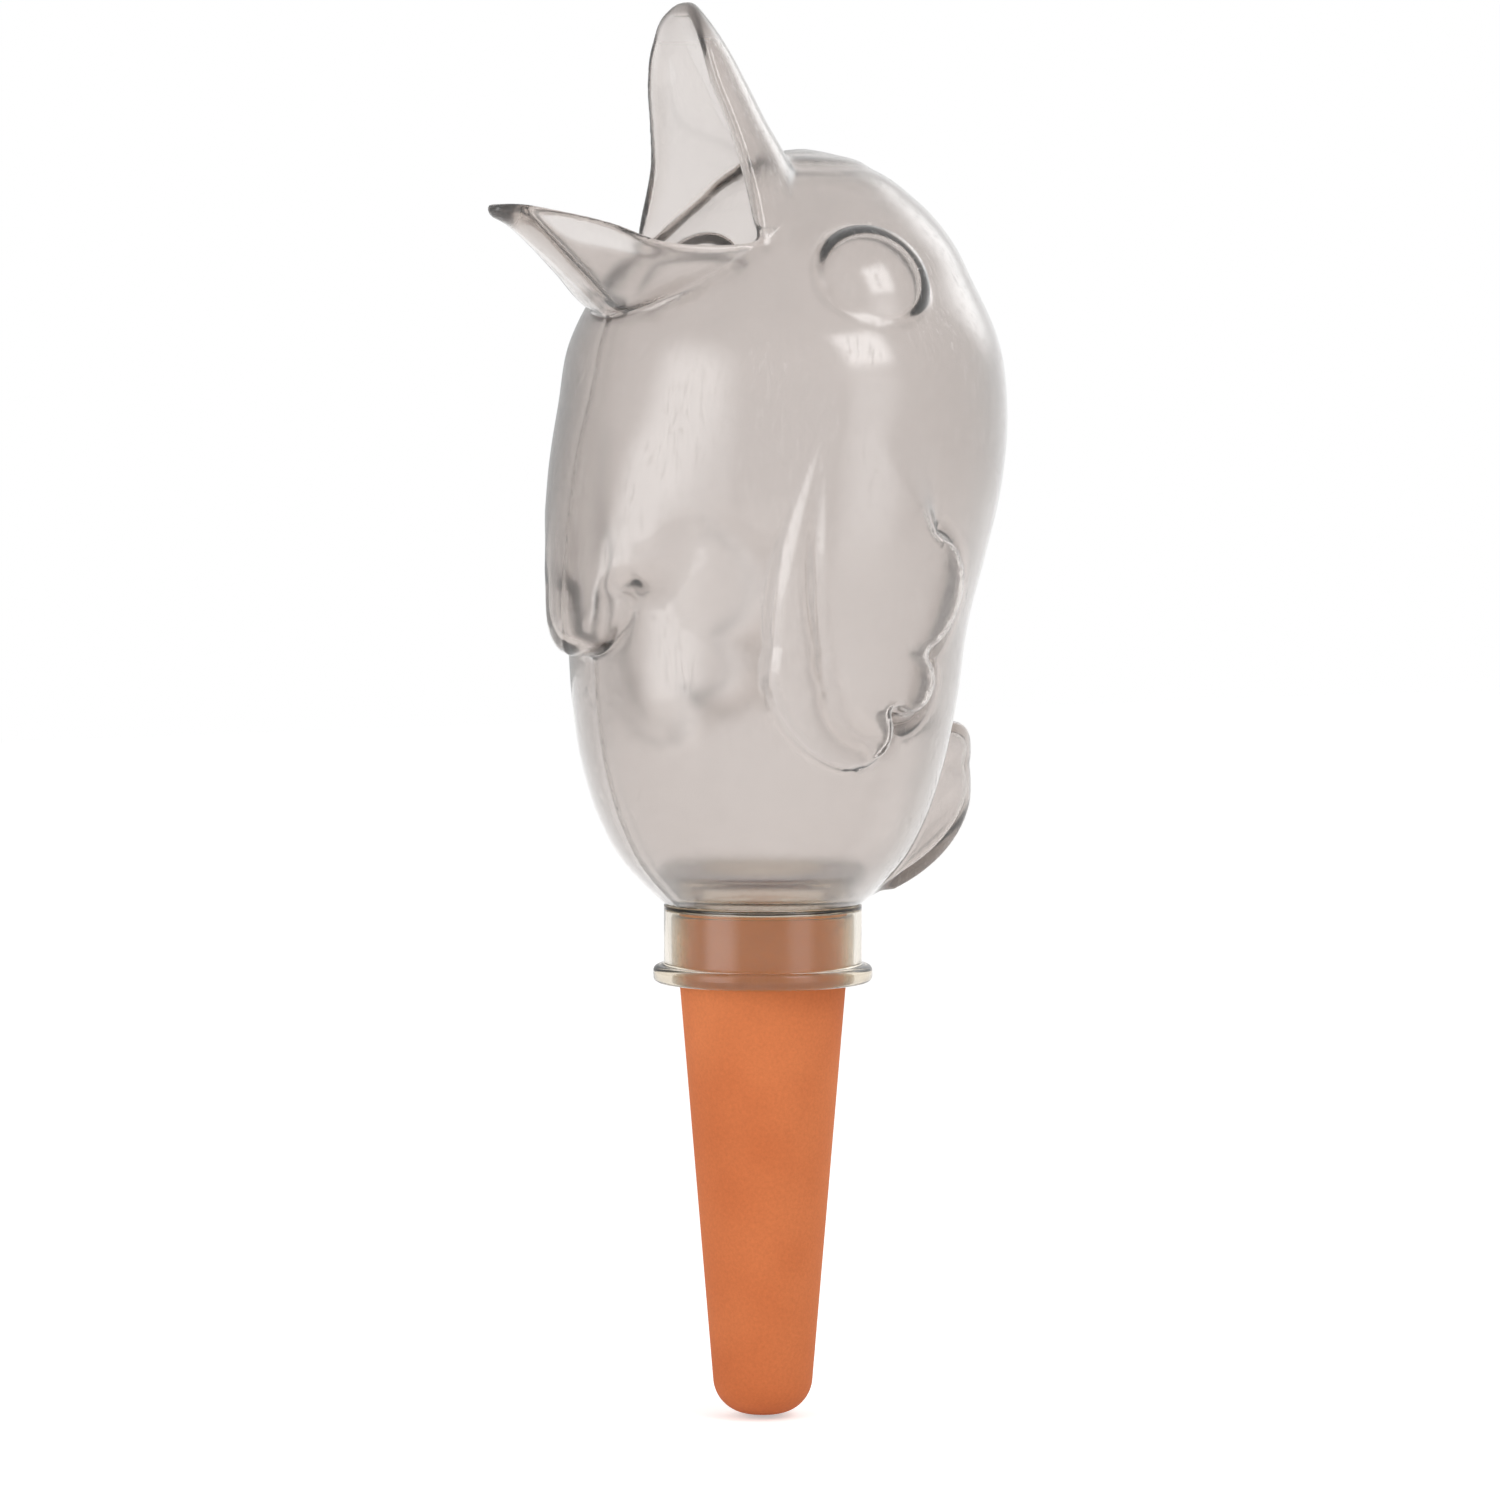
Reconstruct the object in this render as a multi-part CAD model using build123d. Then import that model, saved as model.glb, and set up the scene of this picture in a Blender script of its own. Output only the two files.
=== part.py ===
from build123d import *
import os

os.makedirs("parts", exist_ok=True)

# Self-watering spike: a clear hollow bird with a wide open beak sits on an unglazed clay cone.
# Water is poured in at the beak, stands in the body and seeps out through the cone into the soil.
# Millimetres. +Z is up, the bird faces -Y and its left side is +X.
# The origin is the centre of the collar's underside, which rests on the soil.

# Body of the bird: an egg of level ovals, with the same wall all over.
body_height = 105.3
body_half_depth = 31.3
body_half_width = 32.8
wall = 1.6

# Each row: height, how far forwards the oval stands, half depth and half width.
# Shares of the body's height, half depth, half depth and half width.
body_oval_shares = (
    (0.000, 0.000, 0.444, 0.424),
    (0.024, 0.000, 0.530, 0.506),
    (0.057, 0.000, 0.630, 0.601),
    (0.104, 0.000, 0.722, 0.680),
    (0.180, 0.000, 0.812, 0.753),
    (0.271, -0.010, 0.872, 0.793),
    (0.370, -0.024, 0.901, 0.838),
    (0.465, -0.052, 0.950, 0.909),
    (0.560, -0.080, 0.990, 0.973),
    (0.655, -0.104, 0.984, 1.000),
    (0.750, -0.112, 0.927, 0.973),
    (0.826, -0.130, 0.840, 0.817),
    (0.883, -0.166, 0.696, 0.668),
    (0.935, -0.184, 0.524, 0.500),
    (0.973, -0.198, 0.329, 0.314),
    (0.993, -0.204, 0.157, 0.149),
)
body_crown_share = -0.205

# Breast bib: a raised apron that stands out most at its hem and fades into the body at its top.
bib_top = 93.0
bib_hem = 46.5
bib_half_width = 22.0
bib_reach = 32.5

# Each row: height above the hem, how far forwards the round section stands, and its radius.
# Shares of the bib's height and reach; across the bird, the radius is a share of the body's half width.
bib_round_shares = (
    (-0.12, 0.410, 0.570),
    (0.18, 0.395, 0.605),
    (0.42, 0.246, 0.724),
    (0.64, 0.110, 0.806),
    (0.85, -0.015, 0.831),
    (1.06, -0.130, 0.820),
)

# The hem is a low middle lobe with a higher lobe on each side, and a notch between them.
# Shares of the bib's half width and height; the last point is where the side lobe ends.
bib_notch_share = (0.38, 0.180)
bib_side_lobe_shares = ((0.60, 0.165), (0.86, 0.330))
bib_edge_share = 1.20

# Wings: a raised pad on each side, which fades into the shoulder.
wing_shoulder = 86.0
wing_tip = 30.8
wing_front = 12.4
wing_back = 15.4
wing_rise = 2.6

# How much of the wing's rise there is at each of the body's ovals.
wing_rise_shares = (1, 1, 1, 1, 1, 1, 1, 1, 0.7, -0.05, -0.5, -0.5, -0.5, -0.5, -0.5, -0.5)

# The front edge as two arcs from the shoulder down, then the three lobes of the back edge, upwards.
# Shares of the wing's front (or back, where less than zero) and of its height.
wing_front_edge_shares = ((0.40, 1.00), (0.97, 0.57), (0.98, 0.31))
wing_front_tip_shares = ((0.98, 0.31), (0.70, 0.08), (0.08, 0.00))
wing_low_lobe_shares = ((0.08, 0.00), (-0.21, 0.04), (-0.25, 0.145))
wing_middle_lobe_shares = ((-0.25, 0.145), (-0.73, 0.185), (-0.64, 0.29))
wing_high_lobe_shares = ((-0.64, 0.29), (-0.97, 0.385), (-0.61, 0.60))
wing_shoulder_share = (-0.45, 1.00)

# Eyes: hollow bulges, a drop below the crown. The share is of the body's half width.
eye_radius = 8.5
eye_side_share = 0.637
eye_back = 4.7
eye_drop = 18.0

# Beak: two open troughs that meet at the corners of the mouth and make the funnel.
# The share is the mouth's half width, of the body's half width.
beak_tip_height = 136.3
mouth_height = 103.2
mouth_width_share = 0.506
upper_reach = 13.9
upper_depth = 19.0
lower_reach = 43.6
lower_depth = 10.6
upper_gape = 11.0
lower_gape = 1.2

# Upper half, each row: height above the mouth, how far forwards the rim stands, half width, depth.
# Shares of the beak's height above the mouth, the upper reach, the mouth's half width, the upper depth.
upper_trough_shares = (
    (0.00, 0.763, 1.000, 1.000),
    (0.36, 0.784, 0.760, 0.655),
    (0.51, 0.863, 0.670, 0.540),
    (0.66, 0.957, 0.572, 0.470),
    (0.84, 1.000, 0.428, 0.310),
    (0.95, 0.993, 0.260, 0.170),
)
upper_root_share = -0.06
upper_tip_share = (1.00, 0.950, 0.110, 0.085)

# Lower half, each row: how far forwards, rise of the rim above the mouth, half width, depth.
# Shares of the lower reach, the lower depth, the mouth's half width and the lower depth.
lower_trough_shares = (
    (0.19, 0.000, 1.000, 1.000),
    (0.46, -0.050, 0.904, 0.960),
    (0.56, 0.000, 0.813, 0.980),
    (0.69, 0.226, 0.602, 0.783),
    (0.82, 0.377, 0.380, 0.500),
    (0.94, 0.470, 0.180, 0.260),
)
lower_tip_share = (1.00, 0.460, 0.090, 0.150)

# Tail: a stub under the back, two rounded feathers above each other.
tail_foot = 12.6
tail_top = 36.0
tail_reach = 34.6
tail_root = 8.0
tail_half_width = 8.0

# The side outline: two feathers above each other, then the underside down to the foot.
# Shares of the tail's reach and height.
tail_upper_lobe_shares = ((0.80, 1.00), (0.985, 0.88), (0.97, 0.72))
tail_lower_lobe_shares = ((0.97, 0.72), (1.00, 0.60), (0.965, 0.46))
tail_underside_shares = ((0.965, 0.46), (0.80, 0.22), (0.50, 0.00))

# Collar: socket for the cone, lip on the soil, and a plug held between the two shells.
# The shares are the radii of the plug and of the bird's throat, of the slimmer of the body's half sizes.
neck_height = 11.0
neck_radius = 13.9
neck_wall = 1.1
lip_radius = 15.4
lip_thickness = 2.4
water_hole_radius = 9.0
plug_top = 15.8
plug_radius_share = 0.4856
throat_radius_share = 0.3962
shell_clearance = 0.1
plug_clearance = 0.3

# Clay cone: hollow, open at its rim, round at its end, and straight where it stands in the socket.
cone_length = 61.0
cone_soil_radius = 11.7
cone_end_radius = 6.6
cone_end_round = 5.2
cone_wall = 3.2
cone_floor = 4.0
cone_rim_height = 10.2

# Seal sleeve: a soft ring stretched over the clay inside the socket.
sleeve_bottom = 0.4
sleeve_top = 9.6
sleeve_stretch = 0.05
sleeve_clearance = 0.08

slim_half = min(body_half_depth, body_half_width)
plug_radius = plug_radius_share * slim_half
throat_radius = throat_radius_share * slim_half

overrun = 4.0
half_turn = 180
full_turn = 360


def oval(height, forwards, half_depth, half_width):
    """A level oval made of a back and a front half."""
    centre = (0, -forwards)
    back = EllipticalCenterArc(centre, half_width, half_depth, 0, arc_size=half_turn)
    front = EllipticalCenterArc(centre, half_width, half_depth, half_turn, arc_size=half_turn)
    return Pos(0, 0, height) * make_face([back, front])


def egg(inset, rise=0):
    """The body's egg, smaller by inset all over, and wider by rise where the wings are raised."""
    height = body_height - 2 * inset
    foot = neck_height + inset
    ovals = []
    for (up, forwards, depth, width), rise_share in zip(body_oval_shares, wing_rise_shares):
        moved = rise * rise_share - inset
        ovals.append(oval(
            foot + up * height,
            forwards * body_half_depth,
            depth * body_half_depth + moved,
            width * body_half_width + moved,
        ))
    crown = Vertex(0, -body_crown_share * body_half_depth, foot + height)
    return loft([*ovals, crown])


def grown_in(face, inset):
    """The face, smaller by inset all round."""
    return offset(face, amount=-inset) if inset else face


def bib(inset):
    """The raised apron, cut to its lobed hem."""
    height = bib_top - bib_hem
    rounds = []
    for up, forwards, radius in bib_round_shares:
        rounds.append(oval(
            bib_hem + up * height,
            forwards * bib_reach,
            radius * bib_reach - inset,
            radius * body_half_width - inset,
        ))
    notch, side, side_end = [
        (across * bib_half_width, bib_hem + up * height)
        for across, up in (bib_notch_share, *bib_side_lobe_shares)
    ]
    edge = bib_edge_share * bib_half_width
    apron = make_face([
        ThreePointArc((-notch[0], notch[1]), (0, bib_hem), notch),
        ThreePointArc(notch, side, side_end),
        Polyline(
            side_end,
            (edge, side_end[1]),
            (edge, bib_top),
            (-edge, bib_top),
            (-edge, side_end[1]),
            (-side_end[0], side_end[1]),
        ),
        ThreePointArc((-side_end[0], side_end[1]), (-side[0], side[1]), (-notch[0], notch[1])),
    ])
    return loft(rounds) & extrude(Plane.XZ * grown_in(apron, inset), bib_reach + overrun)


def wing_outline():
    """The wing's outline as it lies on the YZ plane, forwards to the left."""
    height = wing_shoulder - wing_tip

    def place(share):
        forwards = share[0] * (wing_front if share[0] > 0 else wing_back)
        return (-forwards, wing_tip + share[1] * height)

    arcs = [
        ThreePointArc(*(place(share) for share in shares))
        for shares in (
            wing_front_edge_shares,
            wing_front_tip_shares,
            wing_low_lobe_shares,
            wing_middle_lobe_shares,
            wing_high_lobe_shares,
        )
    ]
    top = Polyline(place(wing_high_lobe_shares[-1]), place(wing_shoulder_share), place(wing_front_edge_shares[0]))
    return make_face([*arcs, top])


def left_wing(inset):
    """The raised pad on the bird's left side."""
    outline = grown_in(wing_outline(), inset)
    return extrude(Plane.YZ * outline, body_half_width + wing_rise + overrun) & egg(inset, wing_rise)


def trough(plane, half_width, depth, gape):
    """A section of one half of the beak: half an oval, with straight sides that run out by gape."""
    curve = EllipticalCenterArc((0, 0), half_width, depth, 0, arc_size=half_turn)
    if gape:
        lid = Polyline((-half_width, 0), (-half_width, -gape), (half_width, -gape), (half_width, 0))
    else:
        lid = Line((-half_width, 0), (half_width, 0))
    return plane * make_face([curve, lid])


def upper_beak(inset, gape=0):
    height = beak_tip_height - mouth_height
    rows = list(upper_trough_shares)
    if not inset:
        rows = [(upper_root_share, *rows[0][1:]), *rows[1:], upper_tip_share]
    sections = []
    for up, forwards, width, depth in rows:
        plane = Plane(origin=(0, -forwards * upper_reach, mouth_height + up * height), x_dir=(1, 0, 0))
        half_width = width * mouth_width_share * body_half_width - inset
        sections.append(trough(plane, half_width, depth * upper_depth - inset, gape))
    return loft(sections)


def lower_beak(inset, gape=0):
    rows = list(lower_trough_shares)
    if not inset:
        rows.append(lower_tip_share)
    sections = []
    for forwards, rise, width, depth in rows:
        place = (0, -forwards * lower_reach, mouth_height + rise * lower_depth)
        plane = Plane(origin=place, x_dir=(1, 0, 0), z_dir=(0, 1, 0))
        half_width = width * mouth_width_share * body_half_width - inset
        sections.append(trough(plane, half_width, depth * lower_depth - inset, gape))
    return loft(sections)


def tail(inset):
    """The stub's side outline, cut to an oval plan."""
    height = tail_top - tail_foot
    upper, lower, underside = (
        [(back * tail_reach, tail_foot + up * height) for back, up in shares]
        for shares in (tail_upper_lobe_shares, tail_lower_lobe_shares, tail_underside_shares)
    )
    outline = make_face([
        ThreePointArc(*upper),
        ThreePointArc(*lower),
        ThreePointArc(*underside),
        Polyline(underside[-1], (tail_root, tail_foot), (tail_root, tail_top), upper[0]),
    ])
    side = extrude(Plane.YZ * grown_in(outline, inset), tail_half_width, both=True)
    plan = oval(0, -tail_root, tail_reach - tail_root - inset, tail_half_width - inset)
    return side & extrude(plan, tail_top)


def left_eye(inset):
    height = neck_height + body_height - eye_drop
    return Pos(eye_side_share * body_half_width, eye_back, height) * Sphere(eye_radius - inset)


def raised_forms(inset, upper_gap=0, lower_gap=0):
    """What stands out of the egg, each form smaller by inset all over; of the wings, the left one."""
    return [
        bib(inset),
        left_wing(inset),
        left_eye(inset),
        tail(inset),
        upper_beak(inset, upper_gap),
        lower_beak(inset, lower_gap),
    ]


def left_shell():
    """The left half of the clear bird, cut on its mirror plane."""
    body = egg(0)
    for form in raised_forms(0):
        body += form
    cavity = egg(wall)
    body -= cavity
    for hollow in raised_forms(wall, upper_gape, lower_gape):
        body -= hollow - cavity
    body -= Pos(0, 0, neck_height) * Cylinder(throat_radius, wall + overrun)
    reach = lower_reach + body_half_depth
    height = neck_height + beak_tip_height
    left_side = Box(reach, 2 * reach, 2 * height, align=(Align.MIN, Align.CENTER, Align.CENTER))
    return body & left_side


def turned(*points):
    """A ring turned about the upright axis from its half section of (radius, height) points."""
    return revolve(Plane.XZ * make_face(Polyline(*points, close=True)), Axis.Z, full_turn)


def neck_collar():
    socket_radius = neck_radius - neck_wall
    boss_radius = throat_radius - shell_clearance
    plug_foot = neck_height + wall + plug_clearance
    return turned(
        (lip_radius, 0),
        (lip_radius, lip_thickness),
        (neck_radius, lip_thickness),
        (neck_radius, neck_height),
        (boss_radius, neck_height),
        (boss_radius, plug_foot),
        (plug_radius, plug_top),
        (water_hole_radius, plug_top),
        (water_hole_radius, cone_rim_height),
        (socket_radius, cone_rim_height),
        (socket_radius, 0),
    )


def clay_cone():
    outside = make_face(Polyline(
        (0, -cone_length),
        (cone_end_radius, -cone_length),
        (cone_soil_radius, 0),
        (cone_soil_radius, cone_rim_height),
        (0, cone_rim_height),
        close=True,
    ))
    inside = make_face(Polyline(
        (0, cone_floor - cone_length),
        (cone_end_radius - cone_wall, cone_floor - cone_length),
        (cone_soil_radius - cone_wall, 0),
        (cone_soil_radius - cone_wall, cone_rim_height),
        (0, cone_rim_height),
        close=True,
    ))
    end_corner = outside.vertices().filter_by_position(Axis.Y, -cone_length, -cone_length).sort_by(Axis.X)[-1]
    half_section = Plane.XZ * (fillet(end_corner, cone_end_round) - inside)
    return revolve(half_section, Axis.Z, full_turn)


def seal_sleeve():
    inner_radius = cone_soil_radius - sleeve_stretch
    outer_radius = neck_radius - neck_wall - sleeve_clearance
    return turned(
        (inner_radius, sleeve_bottom),
        (outer_radius, sleeve_bottom),
        (outer_radius, sleeve_top),
        (inner_radius, sleeve_top),
    )


left = left_shell()
pieces = {
    "left_shell": left,
    "right_shell": mirror(left, about=Plane.YZ),
    "neck_collar": neck_collar(),
    "seal_sleeve": seal_sleeve(),
    "clay_cone": clay_cone(),
}
for name, piece in pieces.items():
    export_step(piece, f"parts/{name}.step")
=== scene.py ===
import math

import bpy
import numpy as np
import openvdb
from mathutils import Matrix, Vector

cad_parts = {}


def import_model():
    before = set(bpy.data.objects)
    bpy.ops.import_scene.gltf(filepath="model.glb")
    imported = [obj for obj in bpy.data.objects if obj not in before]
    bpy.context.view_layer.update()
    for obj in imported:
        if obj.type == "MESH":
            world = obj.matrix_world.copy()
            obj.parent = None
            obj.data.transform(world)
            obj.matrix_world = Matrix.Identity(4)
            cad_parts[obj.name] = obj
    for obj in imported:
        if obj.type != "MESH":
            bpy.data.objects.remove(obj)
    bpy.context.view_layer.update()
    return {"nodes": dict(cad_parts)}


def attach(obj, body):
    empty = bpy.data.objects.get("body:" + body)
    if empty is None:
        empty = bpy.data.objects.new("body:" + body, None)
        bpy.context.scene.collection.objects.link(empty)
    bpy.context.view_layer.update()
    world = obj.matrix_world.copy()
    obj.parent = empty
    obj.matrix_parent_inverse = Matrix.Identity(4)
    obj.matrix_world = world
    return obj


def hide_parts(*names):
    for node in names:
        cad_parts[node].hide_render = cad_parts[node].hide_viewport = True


# A self-watering spike: a clear hollow bird with an open beak, on a collar over an unglazed clay
# cone. Metres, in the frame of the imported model: +Z is up, the bird faces -Y and its left side
# is +X. The bird's shape is worked out in millimetres and turned into metres where its mesh is
# made.

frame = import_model()

MM = 0.001

# ---------------------------------------------------------------- sizes, in millimetres

FOOT = 11.0                # underside of the bird, on the collar
BODY_HEIGHT = 105.3
HALF_DEPTH = 31.3
HALF_WIDTH = 32.8
WALL = 1.6

# Egg: height, forwards, half depth, half width, as shares of the body's own sizes.
EGG_ROWS = (
    (0.000, 0.000, 0.444, 0.424),
    (0.024, 0.000, 0.530, 0.506),
    (0.057, 0.000, 0.630, 0.601),
    (0.104, 0.000, 0.722, 0.680),
    (0.180, 0.000, 0.812, 0.753),
    (0.271, -0.010, 0.872, 0.793),
    (0.370, -0.024, 0.901, 0.838),
    (0.465, -0.052, 0.950, 0.909),
    (0.560, -0.080, 0.990, 0.973),
    (0.655, -0.104, 0.990, 0.985),
    (0.750, -0.112, 0.949, 0.920),
    (0.826, -0.130, 0.838, 0.760),
    (0.883, -0.166, 0.708, 0.635),
    (0.935, -0.184, 0.533, 0.477),
    (0.973, -0.198, 0.329, 0.314),
    (0.993, -0.204, 0.157, 0.149),
)
EGG_CROWN = -0.205

# Breast bib, a raised apron with a lobed hem.
BIB_TOP = 93.0
BIB_HEM = 46.5
BIB_HALF_WIDTH = 22.0
BIB_REACH = 32.5
BIB_ROUNDS = (             # height, forwards and radius, the last two as shares of the reach
    (-0.12, 0.410, 0.570),
    (0.18, 0.395, 0.605),
    (0.42, 0.246, 0.724),
    (0.64, 0.110, 0.806),
    (0.85, -0.015, 0.831),
    (1.06, -0.130, 0.820),
)
BIB_NOTCH = (0.38, 0.180)
BIB_SIDE_LOBE = ((0.60, 0.165), (0.86, 0.330))
BIB_EDGE = 1.20            # the apron's side, as a share of its half width
BIB_BACK = -2.0            # where the bib ends towards the back
BIB_THINNING = 1.2         # how much thinner the bib is over its side lobes
BIB_THINNING_SIDE = (7.0, 5.0)      # it starts this far from the seam and is full after this span
BIB_THINNING_TOP = (BIB_HEM + 20, 12.0)
BIB_ROUNDING = 1.8
BIB_SIDE_ROUNDING = 3.2    # more rounding over the side lobes
BIB_SIDE_ROUNDING_FADE = (5.5, 4.0)
BIB_FILLET = 1.2

# Wings. Their outline is given as shares of the reach to the front or back, and of the height.
WING_SHOULDER = 86.0
WING_TIP = 30.8
WING_FRONT = 13.6
WING_BACK = 15.4
WING_RISE = 3.0
WING_FRONT_ARCS = (
    ((0.40, 1.00), (0.97, 0.57), (0.98, 0.31)),
    ((0.98, 0.31), (0.70, 0.08), (0.08, 0.00)),
)
WING_BACK_ARCS = (
    ((0.08, 0.00), (-0.21, 0.04), (-0.25, 0.145)),
    ((-0.25, 0.145), (-0.73, 0.185), (-0.64, 0.29)),
    ((-0.64, 0.29), (-0.97, 0.385), (-0.61, 0.60)),
)
WING_SHOULDER_POINT = (-0.45, 1.00)
WING_FADE_TOP = WING_SHOULDER + 1
WING_FADE = 32.0           # height over which the wing rises out of the shoulder
WING_STEP = 1.3            # width of the step at its feathers
WING_STEP_TOP = 62.0       # above this the step widens and melts into the back
WING_STEP_WIDENING = 0.7   # for each millimetre up

# Across the wing, inwards from its front: an edge, a flat facet, a slope up to the plateau, and a
# groove between facet and slope. The first three are shares of the wing's rise that make it up.
EDGE_SHARE, EDGE_WIDTH = 0.24, 0.8
FACET_SHARE = 0.46
SLOPE_SHARE, SLOPE_WIDTH = 0.30, 1.4
GROOVE_SHARE, GROOVE_HALF_WIDTH = 0.11, 0.65
GROOVE_START = 1.5         # the groove fades out where the facet is narrower than this
FACET_WIDTH = 2.9          # at the height of its middle
FACET_MIDDLE = 65.0
FACET_WIDENING = 0.16      # for each millimetre down,
FACET_WIDENS = (-10.0, 22.0)        # from this far above the middle to this far below it
FACET_FOOT = 42.0          # from here down it narrows again,
FACET_NARROWING = 0.34     # for each millimetre down,
FACET_NARROWS = (0.0, 11.0)         # over this height

# The wall is thicker inside, along the wing's step and a little along its ridge.
STEP_RIB = 3.4
STEP_RIB_HALF_WIDTH = 1.1
STEP_RIB_SHIFT = 0.9       # how far behind the step the rib stands
STEP_RIB_TOP = (WING_STEP_TOP + 6, 16.0)      # it ends at this height, after fading over this span
STEP_RIB_FOOT = (32.0, 6.0)         # it starts at this height and is full after this span
RIDGE_RIB = 0.8
RIDGE_RIB_HALF_WIDTH = 1.5
RIDGE_RIB_BACK = (4.0, 4.0)
RIB_SIDE = (12.0, 6.0)     # no rib nearer to the seam than this, and full ribs after this span

# Eyes: domed buttons on the slope of the head.
EYE_RADIUS = 8.8
EYE_DOME = 16.0            # radius of the dome's curve
EYE_APEX = (27.45, 1.62, 99.1)
EYE_AZIMUTH = 79.0         # where the dome looks, from the front towards the bird's left
EYE_ELEVATION = 24.0
EYE_ROUNDING = 2.0
EYE_FILLET = 0.7

# Beak. The rows are shares: of the upper half's height, its reach forwards, half width and depth;
# and of the lower half's reach, its rise, half width and depth.
TIP_HEIGHT = 136.3
MOUTH_HEIGHT = 103.2
MOUTH_HALF_WIDTH = 16.6
UPPER_REACH = 13.9
UPPER_DEPTH = 19.0
UPPER_ROOT = 2.0           # how far the upper half goes down into the head
LOWER_REACH = 43.6
LOWER_DEPTH = 10.6
UPPER_ROWS = (
    (-0.06, 0.763, 1.000, 1.000),
    (0.00, 0.763, 1.000, 1.000),
    (0.36, 0.784, 0.760, 0.655),
    (0.51, 0.863, 0.670, 0.540),
    (0.66, 0.957, 0.572, 0.470),
    (0.84, 1.000, 0.428, 0.310),
    (0.95, 0.993, 0.260, 0.170),
    (1.00, 0.950, 0.110, 0.085),
)
LOWER_ROWS = (
    (0.19, 0.000, 1.000, 1.000),
    (0.46, -0.050, 0.904, 0.960),
    (0.56, 0.000, 0.813, 0.980),
    (0.69, 0.226, 0.602, 0.783),
    (0.82, 0.377, 0.380, 0.500),
    (0.94, 0.470, 0.180, 0.260),
    (1.00, 0.460, 0.090, 0.150),
)
BEAK_LIP_ROUNDING = 0.7
BEAK_END_ROUNDING = 0.8
BEAK_FILLET = 0.9

# Inside the beak: its hollow, and the thicker plastic along its lips and its keel.
UPPER_TIP_SOLID = 2.0      # length of the solid tips
LOWER_TIP_SOLID = 2.6
GAPE_REACH = 11.0          # how far the upper hollow is open in front of its lips
LOWER_OVERCUT = 1.2        # how far the lower hollow is open above its lips
HOLLOW_FILLET = 1.2
WALL_ROUNDING = 0.7        # where the wall ends at the lips
UPPER_BEAD = 0.7
LOWER_BEAD = 0.4
BEAD_DEPTH = 3.0           # how far down from the lips the beads reach
BEAD_ROOT_FADE = 4.0
BEAD_TIP_FADE = 14.0
KEEL = 1.8
KEEL_HALF_WIDTH = 1.5

# Tail, as shares of its reach and height.
TAIL_FOOT = 12.6
TAIL_TOP = 36.0
TAIL_REACH = 34.6
TAIL_ROOT = 8.0
TAIL_HALF_WIDTH = 8.0
TAIL_ARCS = (
    ((0.80, 1.00), (0.985, 0.88), (0.97, 0.72)),
    ((0.97, 0.72), (1.00, 0.60), (0.965, 0.46)),
    ((0.965, 0.46), (0.80, 0.22), (0.50, 0.00)),
)
TAIL_ROUNDING = 0.8
TAIL_FILLET = 1.6

# Parting line of the mould, where the halves meet. It fades before the tips of the beak.
SEAM_RISE = 0.14
SEAM_HALF_WIDTH = 0.42
SEAM_TIP_MARGIN = 2.0
SEAM_TIP_FADE = 6.0

# Collar, seal and clay.
NECK_RADIUS = 13.9
NECK_WALL = 1.1
LIP_RADIUS = 15.4
LIP_THICKNESS = 2.4
THROAT_RADIUS = 12.40
THROAT_TOP = FOOT + WALL + 2
BOSS_RADIUS = 12.30
PLUG_FOOT = 12.9
PLUG_TOP = 15.8
PLUG_RADIUS = 15.2
WATER_HOLE_RADIUS = 9.0
CONE_LENGTH = 61.0
CONE_SOIL_RADIUS = 11.7
CONE_RIM_HEIGHT = 10.2
SLEEVE_BOTTOM = 0.4
SLEEVE_TOP = 9.6
SLEEVE_AIR = 0.03          # a film of air, as dry clay touches the silicone at high spots alone
SLEEVE_CLEARANCE = 0.08

# ---------------------------------------------------------------- fineness of the meshes

PITCH = 0.40               # spacing of the grid that the bird is worked out on, in mm
GRID_SIDE = 35.2           # the grid's reach to the side, the front and the back
GRID_FRONT = -46.4
GRID_BACK = 36.4
GRID_MARGIN = 1.6          # below the foot and above the tip of the beak
GRID_OVERLAP = 3           # grid steps past the mirror plane
FIELD_BAND = 2.0           # distances are kept up to this many millimetres
EGG_CAP = 0.1              # the top of the egg's height has levels of its own, nearer to each other
EGG_CAP_END = 0.0006
EGG_LEVELS = 110
EGG_CAP_LEVELS = 60
EGG_SIDES = 240
EGG_BAND = 18.0            # grid steps from the egg up to which its distance is worked out
EVENNESS = 0.007           # how far from flat a patch may be and still be meshed coarsely
SETTLING_ROUNDS = 2
UNFOLDING_ROUNDS = 30
FOLDED = 0.3               # a triangle that leans with less than this is folded
TURN_STEPS = 160           # sides of a turned ring
CORNER_STEPS = 5           # sides of its rounded corners

# ---------------------------------------------------------------- materials, in metres

SHINE = 0.17               # roughness of the bird's plastic
MATT_TIP = 0.50            # and of the ground tips of its beak
UPPER_TIP_GROUND = (0.1300, 0.1335)       # heights between which it goes from one to the other
LOWER_TIP_GROUND = (-0.0400, -0.0420)     # and the same along Y
PLASTIC_IOR = 1.45
SILICONE_IOR = 1.41
# Heights over which the collar's plug top turns grey: painted shade for its dark edge line.
PAINTED_SHADE_LINE = (0.0151, 0.0155)
# Heights over which the clay inside the collar turns paler: painted light.
PAINTED_LIGHT_CLAY = (-0.0004, 0.0012)

# ---------------------------------------------------------------- studio and camera, in metres

CAMERA_AZIMUTH = 58.0      # from the front of the bird towards its left, like all azimuths here
CAMERA_ELEVATION = 3.5
CAMERA_DISTANCE = 0.9
CAMERA_HEIGHT = 0.0325     # of the point that the camera looks at
CAMERA_SHIFT = 0.0018      # how far left of the cone's axis this point is
FRAME_WIDTH = 0.210
SENSOR_WIDTH = 36.0

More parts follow.
